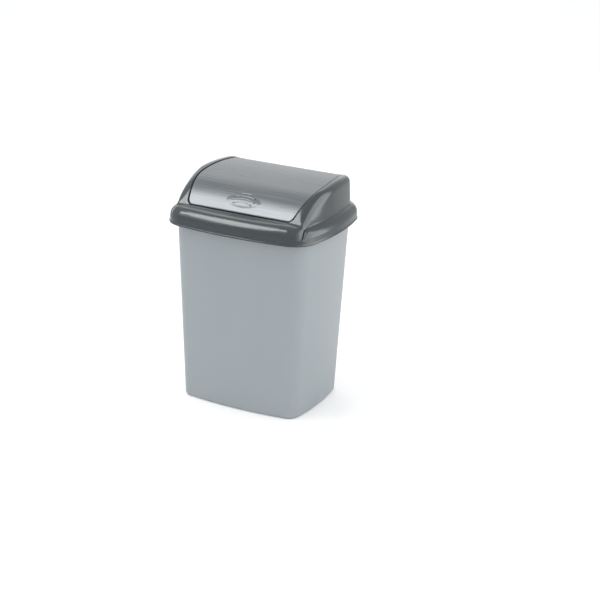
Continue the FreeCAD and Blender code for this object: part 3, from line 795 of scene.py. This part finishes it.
def lip_rings(border):
    """Rings of points from the face's edge round the lip to the panel's underside."""
    rings = []
    for turn in ROUND_EDGE_TURNS:
        distance = FLAP_ROUND * (1.0 - math.sin(turn))
        extra = FLAP_ROUND * (1.0 - math.cos(turn))
        rings.append(lip_ring(distance, border, 0.0, extra))
    for share in OUTER_LIP_SHARES:
        rings.append(lip_ring(0.0, border, share))
    rings.append(lip_ring(LIP_CHAMFER, border, 1.0))
    rings.append(lip_ring(LIP_WALL - LIP_CHAMFER, border, 1.0))
    for share in INNER_LIP_SHARES:
        rings.append(lip_ring(LIP_WALL, border, share))
    return rings


def flap_shell():
    """Points, faces and painted gap shade of the flap's panel with its turned lip."""
    rows, columns = len(FLAP_ROWS), len(FLAP_COLUMNS)
    points = flap_skin(inset(FLAP_OUTLINE, FLAP_ROUND), FLAP_DROP)
    points += flap_skin(inset(FLAP_OUTLINE, LIP_WALL), FLAP_DROP + FLAP_WALL)
    faces = grid_faces(rows, columns, 0, closed=False)
    faces += grid_faces(rows, columns, rows * columns, closed=False)
    shades = [0.0] * len(points)
    border = grid_border(rows, columns)
    numbered = [[row * columns + column for row, column in border]]
    for place, ring in enumerate(lip_rings(border), 1):
        numbered.append(list(range(len(points), len(points) + len(ring))))
        points += ring
        for _, y, _ in ring:
            # Painted shade of the gap, by ring and by side.
            shades.append(ease(place, *(FRONT_PAINTED_SHADE_RINGS if y < FRONT_PAINTED_SHADE_Y else PAINTED_SHADE_RINGS)))
    numbered.append([(rows + row) * columns + column for row, column in border])
    count = len(border)
    for first, second in zip(numbered, numbered[1:]):
        for place in range(count):
            beside = (place + 1) % count
            faces.append((first[place], first[beside], second[beside], second[place]))
    return points, faces, shades


def build_flap(material):
    """Swing flap: arched panel with its push pad, the lip all round and the two lugs."""
    parts = [flap_shell(), *ring_pair(lug_profile, LUG)]
    piece = mesh_piece("flap_panel", *join_parts(parts), material, FLAP_SHARP_DEGREES)
    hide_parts("swing_flap")
    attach(piece, "flap")


def rib_lines():
    """Lines that the grip's ribs follow on the face: points, edges and shares of thickness."""
    points, edges, shares = [], [], []
    for behind, length, height in GRIP_RIBS:
        first = len(points)
        for step in range(RIB_STEPS + 1):
            along = 2.0 * step / RIB_STEPS - 1.0
            x = along * length / 2
            y = PAD_Y + behind - RIB_BOW_RADIUS + math.sqrt(RIB_BOW_RADIUS**2 - x**2)
            share = max(math.sqrt(1.0 - along**4), RIB_END_SHARE)
            place = GRIP.surface(x, y)
            rise = height * share**2 - RIB_END_DEPTH * (1.0 - share)
            place += GRIP.normal * (rise - RIB_HALF_WIDTH * share)
            points.append(Vector((x, place.x, place.y)) * MM)
            shares.append(share)
        edges += [(first + step, first + step + 1) for step in range(RIB_STEPS)]
    return points, edges, shares


def rib_tree():
    """Node tree that sweeps a round section along lines, and its inputs by name."""
    tree = bpy.data.node_groups.new("grip_ribs", "GeometryNodeTree")
    sockets = {}
    for name, kind in (
        ("Lines", "NodeSocketGeometry"), ("Half Width", "NodeSocketFloat"),
        ("Round Steps", "NodeSocketInt"), ("Finish", "NodeSocketMaterial"),
    ):
        sockets[name] = tree.interface.new_socket(name, in_out="INPUT", socket_type=kind)
    tree.interface.new_socket("Ribs", in_out="OUTPUT", socket_type="NodeSocketGeometry")
    given = tree.nodes.new("NodeGroupInput")
    result = tree.nodes.new("NodeGroupOutput")
    line = tree.nodes.new("GeometryNodeMeshToCurve")
    thickness = tree.nodes.new("GeometryNodeInputNamedAttribute")
    thickness.data_type = "FLOAT"
    thickness.inputs["Name"].default_value = "rib_share"
    radius = tree.nodes.new("GeometryNodeSetCurveRadius")
    section = tree.nodes.new("GeometryNodeCurvePrimitiveCircle")
    sweep = tree.nodes.new("GeometryNodeCurveToMesh")
    sweep.inputs["Fill Caps"].default_value = True
    smooth = tree.nodes.new("GeometryNodeSetShadeSmooth")
    realize = tree.nodes.new("GeometryNodeRealizeInstances")
    finish = tree.nodes.new("GeometryNodeSetMaterial")
    link = tree.links.new
    link(given.outputs["Lines"], line.inputs["Mesh"])
    link(line.outputs["Curve"], radius.inputs["Curve"])
    link(thickness.outputs["Attribute"], radius.inputs["Radius"])
    link(given.outputs["Round Steps"], section.inputs["Resolution"])
    link(given.outputs["Half Width"], section.inputs["Radius"])
    link(radius.outputs["Curve"], sweep.inputs["Curve"])
    link(section.outputs["Curve"], sweep.inputs["Profile Curve"])
    link(sweep.outputs["Mesh"], smooth.inputs["Geometry"])
    link(smooth.outputs["Geometry"], realize.inputs["Geometry"])
    link(realize.outputs["Geometry"], finish.inputs["Geometry"])
    link(given.outputs["Finish"], finish.inputs["Material"])
    link(finish.outputs["Geometry"], result.inputs["Ribs"])
    return tree, {name: socket.identifier for name, socket in sockets.items()}


def build_grip_ribs(material):
    """Bowed ribs of the push grip, mostly sunk in the pad."""
    points, edges, shares = rib_lines()
    lines = bpy.data.meshes.new("grip_ribs")
    lines.from_pydata(points, edges, [])
    lines.attributes.new("rib_share", "FLOAT", "POINT").data.foreach_set("value", shares)
    piece = bpy.data.objects.new("grip_ribs", lines)
    bpy.context.scene.collection.objects.link(piece)
    tree, inputs = rib_tree()
    modifier = piece.modifiers.new("ribs", "NODES")
    modifier.node_group = tree
    modifier[inputs["Half Width"]] = RIB_HALF_WIDTH * MM
    modifier[inputs["Round Steps"]] = RIB_ROUND_STEPS
    modifier[inputs["Finish"]] = material
    seen = piece.evaluated_get(bpy.context.evaluated_depsgraph_get())
    mesh = bpy.data.meshes.new_from_object(seen)
    piece.modifiers.clear()
    piece.data = mesh
    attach(piece, "flap")


# Scale of a pattern that is the same along all three axes.
EVEN = (1.0, 1.0, 1.0)
WHITE = (1.0, 1.0, 1.0, 1.0)
# Dark colour painted into the gap round the flap, as the shade that falls there.
GAP_SHADE_COLOUR = (0.034, 0.038, 0.040)
# Places of a mix node's colour sockets: three of its inputs and one of its outputs.
MIX_FACTOR, MIX_FIRST, MIX_SECOND, MIX_RESULT = 0, 6, 7, 2


def new_material(name):
    """New node material, its node tree and its principled shader."""
    material = bpy.data.materials.new(name)
    material.use_nodes = True
    return material, material.node_tree, material.node_tree.nodes["Principled BSDF"]


def object_coordinates(tree, scale=EVEN):
    """Object coordinates, scaled along each axis."""
    coordinates = tree.nodes.new("ShaderNodeTexCoord")
    mapping = tree.nodes.new("ShaderNodeMapping")
    mapping.inputs["Scale"].default_value = scale
    tree.links.new(coordinates.outputs["Object"], mapping.inputs["Vector"])
    return mapping.outputs["Vector"]


def noise(tree, vector, scale, detail=3.0, roughness=0.5):
    node = tree.nodes.new("ShaderNodeTexNoise")
    node.inputs["Scale"].default_value = scale
    node.inputs["Detail"].default_value = detail
    node.inputs["Roughness"].default_value = roughness
    tree.links.new(vector, node.inputs["Vector"])
    return node.outputs["Fac"]


def remap(tree, value, low, high, from_low=0.0, from_high=1.0):
    """The value's range stretched to run from low to high, and cut off beyond them."""
    node = tree.nodes.new("ShaderNodeMapRange")
    node.inputs["From Min"].default_value = from_low
    node.inputs["From Max"].default_value = from_high
    node.inputs["To Min"].default_value = low
    node.inputs["To Max"].default_value = high
    tree.links.new(value, node.inputs["Value"])
    return node.outputs["Result"]


def mix_colours(tree, factor, first, second):
    """Mix of two colours, each written as a tuple or given as a socket."""
    node = tree.nodes.new("ShaderNodeMix")
    node.data_type = "RGBA"
    for place, colour in ((MIX_FIRST, first), (MIX_SECOND, second)):
        if isinstance(colour, tuple):
            node.inputs[place].default_value = (*colour, 1.0)
        else:
            tree.links.new(colour, node.inputs[place])
    tree.links.new(factor, node.inputs[MIX_FACTOR])
    return node.outputs[MIX_RESULT]


def add_bump(tree, shader, layers):
    """Chain of bumps: each layer is (height, strength, distance)."""
    previous = None
    for height, strength, distance in layers:
        bump = tree.nodes.new("ShaderNodeBump")
        bump.inputs["Strength"].default_value = strength
        bump.inputs["Distance"].default_value = distance
        tree.links.new(height, bump.inputs["Height"])
        if previous:
            tree.links.new(previous, bump.inputs["Normal"])
        previous = bump.outputs["Normal"]
    tree.links.new(previous, shader.inputs["Normal"])


def with_painted_gap_shade(tree, colour):
    """The colour, darkened by painted shade where the attribute marks the gap round the flap."""
    shade = tree.nodes.new("ShaderNodeAttribute")
    shade.attribute_name = "gap_painted_shade"
    return mix_colours(tree, shade.outputs["Fac"], colour, GAP_SHADE_COLOUR)


def seen_rays(tree):
    """1 for camera, mirrored and see-through rays, 0 for light on matt surfaces."""
    path = tree.nodes.new("ShaderNodeLightPath")
    total = path.outputs["Is Camera Ray"]
    for ray in ("Is Glossy Ray", "Is Transmission Ray"):
        node = tree.nodes.new("ShaderNodeMath")
        node.operation = "MAXIMUM"
        tree.links.new(total, node.inputs[0])
        tree.links.new(path.outputs[ray], node.inputs[1])
        total = node.outputs["Value"]
    return total


def bucket_plastic():
    """Satin silver-grey plastic with a fine moulded grain."""
    material, tree, shader = new_material("bucket_plastic")
    cloud = noise(tree, object_coordinates(tree, (1.0, 1.0, 0.12)), 14.0)
    grain = noise(tree, object_coordinates(tree), 1400.0, detail=2.0)
    colour = mix_colours(tree, cloud, (0.330, 0.362, 0.382), (0.350, 0.382, 0.402))
    specks = remap(tree, grain, 0.0, 0.35, 0.45, 0.8)
    speckled = mix_colours(tree, specks, colour, (0.41, 0.44, 0.46))
    tree.links.new(speckled, shader.inputs["Base Color"])
    shader.inputs["Specular IOR Level"].default_value = 0.2
    tree.links.new(remap(tree, cloud, 0.40, 0.50), shader.inputs["Roughness"])
    add_bump(tree, shader, [(grain, 0.10, 0.0002), (cloud, 0.05, 0.001)])
    return material


def frame_plastic():
    """Glossy anthracite plastic with a faint orange peel and hairline scuffs."""
    material, tree, shader = new_material("frame_plastic")
    peel = noise(tree, object_coordinates(tree), 260.0, detail=2.0)
    scuff_vector = object_coordinates(tree, (1.0, 7.0, 7.0))
    scuffs = noise(tree, scuff_vector, 60.0, detail=6.0, roughness=0.65)
    colour = mix_colours(tree, peel, (0.050, 0.060, 0.064), (0.058, 0.069, 0.073))
    # Base colour with painted shade in the gap round the flap.
    tree.links.new(with_painted_gap_shade(tree, colour), shader.inputs["Base Color"])
    shader.inputs["Specular IOR Level"].default_value = 0.25
    tree.links.new(remap(tree, scuffs, 0.17, 0.29, 0.45, 0.85), shader.inputs["Roughness"])
    add_bump(tree, shader, [(peel, 0.025, 0.0004), (scuffs, 0.02, 0.0003)])
    return material


def flap_metallic():
    """Silver metallic plastic with faint streaks from side to side."""
    material, tree, shader = new_material("flap_metallic")
    streak_vector = object_coordinates(tree, (0.55, 26.0, 26.0))
    streaks = noise(tree, streak_vector, 14.0, detail=5.0, roughness=0.6)
    flakes = noise(tree, object_coordinates(tree), 1800.0, detail=1.0)
    colour = mix_colours(tree, streaks, (0.060, 0.068, 0.074), (0.150, 0.163, 0.173))
    glints = remap(tree, flakes, 0.0, 0.35, 0.5, 0.8)
    sparkle = mix_colours(tree, glints, colour, (0.215, 0.23, 0.243))
    # Base colour with painted shade in the gap round the flap.
    tree.links.new(with_painted_gap_shade(tree, sparkle), shader.inputs["Base Color"])
    shader.inputs["Metallic"].default_value = 0.2
    shader.inputs["Specular IOR Level"].default_value = 0.25
    tree.links.new(remap(tree, streaks, 0.24, 0.44, 0.3, 0.7), shader.inputs["Roughness"])
    add_bump(tree, shader, [(streaks, 0.10, 0.0006), (flakes, 0.05, 0.0001)])
    return material


def pin_plastic():
    """Dark natural plastic of the pivot pins, polished where they turn."""
    material, tree, shader = new_material("pin_plastic")
    grain = noise(tree, object_coordinates(tree), 900.0)
    rings = noise(tree, object_coordinates(tree, (40.0, 1.0, 1.0)), 60.0)
    colour = mix_colours(tree, grain, (0.045, 0.050, 0.054), (0.065, 0.070, 0.074))
    tree.links.new(colour, shader.inputs["Base Color"])
    tree.links.new(remap(tree, rings, 0.30, 0.50), shader.inputs["Roughness"])
    add_bump(tree, shader, [(grain, 0.10, 0.0002)])
    return material


def dress_nodes(nodes):
    """Gives every CAD node its finish, and returns the three main finishes by node."""
    finishes = {
        "bin_body": bucket_plastic(),
        "lid_frame": frame_plastic(),
        "swing_flap": flap_metallic(),
    }
    pin = pin_plastic()
    for name, node in nodes.items():
        node.data.materials.clear()
        node.data.materials.append(finishes.get(name, pin))
    return finishes


# Light from all round on matt surfaces, and the floor's glow for camera and mirrored rays.
WORLD_LIGHT = 0.93
WORLD_TINT = (0.98, 0.99, 1.0, 1.0)
FLOOR_GLOW = 0.12
FLOOR_SIZE = 40.0


def floor_material():
    """Pale floor, nearly white to the camera and in mirrored rays."""
    material, tree, shader = new_material("studio_floor")
    cloud = noise(tree, object_coordinates(tree), 3.0)
    tone = mix_colours(tree, cloud, (0.93, 0.93, 0.93), (0.96, 0.96, 0.96))
    tree.links.new(tone, shader.inputs["Base Color"])
    shader.inputs["Roughness"].default_value = 0.9
    shader.inputs["Emission Color"].default_value = WHITE
    glow = remap(tree, seen_rays(tree), 0.0, FLOOR_GLOW)
    tree.links.new(glow, shader.inputs["Emission Strength"])
    return material


def build_floor():
    bpy.ops.mesh.primitive_plane_add(size=FLOOR_SIZE, location=(0, 0, 0))
    floor = bpy.context.object
    floor.name = "studio_floor"
    floor.data.materials.append(floor_material())


def build_world():
    """White for the camera and in mirrored rays, soft light for matt surfaces."""
    world = bpy.data.worlds.new("studio")
    bpy.context.scene.world = world
    world.use_nodes = True
    tree = world.node_tree
    tree.nodes.clear()
    output = tree.nodes.new("ShaderNodeOutputWorld")
    seen = tree.nodes.new("ShaderNodeBackground")
    seen.inputs["Color"].default_value = WHITE
    seen.inputs["Strength"].default_value = 1.0
    light = tree.nodes.new("ShaderNodeBackground")
    light.inputs["Color"].default_value = WORLD_TINT
    light.inputs["Strength"].default_value = WORLD_LIGHT
    mix = tree.nodes.new("ShaderNodeMixShader")
    tree.links.new(seen_rays(tree), mix.inputs["Fac"])
    tree.links.new(light.outputs[0], mix.inputs[1])
    tree.links.new(seen.outputs[0], mix.inputs[2])
    tree.links.new(mix.outputs["Shader"], output.inputs["Surface"])


# Points that the lights aim at, in metres: the lid, the bucket, and one level with the side panels.
AT_LID = (0.0, 0.0, 0.42)
AT_BUCKET = (0.0, 0.0, 0.3)
LEVEL = (0.0, 0.0, 1.0)
# Each area light's name, place, aim, size and watts, and what it reaches: matt surfaces only,
# mirrored rays only, or all.
LIGHTS = (
    ("front_softbox", (-0.88, -0.92, 1.90), AT_LID, (1.25, 1.2), 76.0, "mirrored"),
    ("front_low_panel", (-1.33, -1.23, 1.27), AT_LID, (1.0, 0.5), 5.0, "mirrored"),
    ("overhead_fill", (-0.50, -0.30, 2.1), AT_LID, (1.2, 1.2), 11.5, "matt"),
    ("left_glow", (-0.95, 1.17, 1.73), AT_LID, (1.0, 0.8), 4.4, "all"),
    ("right_panel", (1.36, 0.27, 1.0), LEVEL, (1.7, 1.8), 58.0, "mirrored"),
    ("right_front_panel", (1.27, -0.80, 1.0), LEVEL, (0.8, 1.8), 9.0, "mirrored"),
    ("right_fill", (1.5, 0.1, 0.6), AT_BUCKET, (1.2, 0.8), 1.2, "matt"),
    ("back_panel", (-1.2, 2.2, 1.05), AT_LID, (3.0, 1.2), 7.5, "mirrored"),
)


def build_lights():
    """Rectangular lights; some reach matt surfaces only and some mirrored rays only."""
    for name, place, target, size, power, seen_by in LIGHTS:
        data = bpy.data.lights.new(name, "AREA")
        data.shape = "RECTANGLE"
        data.size, data.size_y = size
        data.energy = power
        light = bpy.data.objects.new(name, data)
        bpy.context.scene.collection.objects.link(light)
        light.location = place
        aim = Vector(target) - Vector(place)
        light.rotation_euler = aim.to_track_quat("-Z", "Y").to_euler()
        light.visible_diffuse = seen_by != "mirrored"
        light.visible_glossy = seen_by != "matt"


# Camera, matched to the outlines of the lid and the bucket. Angles in radians, distance in metres.
PHOTO_SIZE = 600
SENSOR_MM = 36.0
LOOK_AT = Vector((0.0, 0.0, 0.25))
AZIMUTH = 0.49176
ELEVATION = 0.34604
ROLL = 0.02189
DISTANCE = 3.39194
FOCAL_PIXELS = 1653.37
TARGET_PIXEL = (262.62, 278.89)


def build_camera():
    """Camera that looks at a point and shows it at its pixel of the photograph."""
    back = Vector((
        math.sin(AZIMUTH) * math.cos(ELEVATION),
        -math.cos(AZIMUTH) * math.cos(ELEVATION),
        math.sin(ELEVATION),
    ))
    right = Vector((math.cos(AZIMUTH), math.sin(AZIMUTH), 0))
    up = back.cross(right)
    base = Matrix((right, up, back)).transposed().to_4x4()
    data = bpy.data.cameras.new("camera")
    data.sensor_width = SENSOR_MM
    data.lens = FOCAL_PIXELS / PHOTO_SIZE * SENSOR_MM
    data.shift_x = (PHOTO_SIZE / 2 - TARGET_PIXEL[0]) / PHOTO_SIZE
    data.shift_y = -(PHOTO_SIZE / 2 - TARGET_PIXEL[1]) / PHOTO_SIZE
    camera = bpy.data.objects.new("camera", data)
    bpy.context.scene.collection.objects.link(camera)
    place = Matrix.Translation(LOOK_AT + back * DISTANCE)
    camera.matrix_world = place @ base @ Matrix.Rotation(ROLL, 4, "Z")
    bpy.context.scene.camera = camera


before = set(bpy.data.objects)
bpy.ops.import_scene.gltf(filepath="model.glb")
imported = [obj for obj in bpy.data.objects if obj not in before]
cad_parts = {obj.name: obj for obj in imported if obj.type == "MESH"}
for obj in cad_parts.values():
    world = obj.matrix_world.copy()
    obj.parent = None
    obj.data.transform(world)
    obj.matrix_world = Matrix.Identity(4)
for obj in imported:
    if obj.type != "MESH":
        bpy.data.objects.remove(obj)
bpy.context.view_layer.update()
finishes = dress_nodes(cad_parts)
build_lid_frame(finishes["lid_frame"])
build_flap(finishes["swing_flap"])
build_grip_ribs(finishes["swing_flap"])
build_floor()
build_world()
build_lights()
build_camera()
bpy.context.scene.view_settings.view_transform = "Standard"
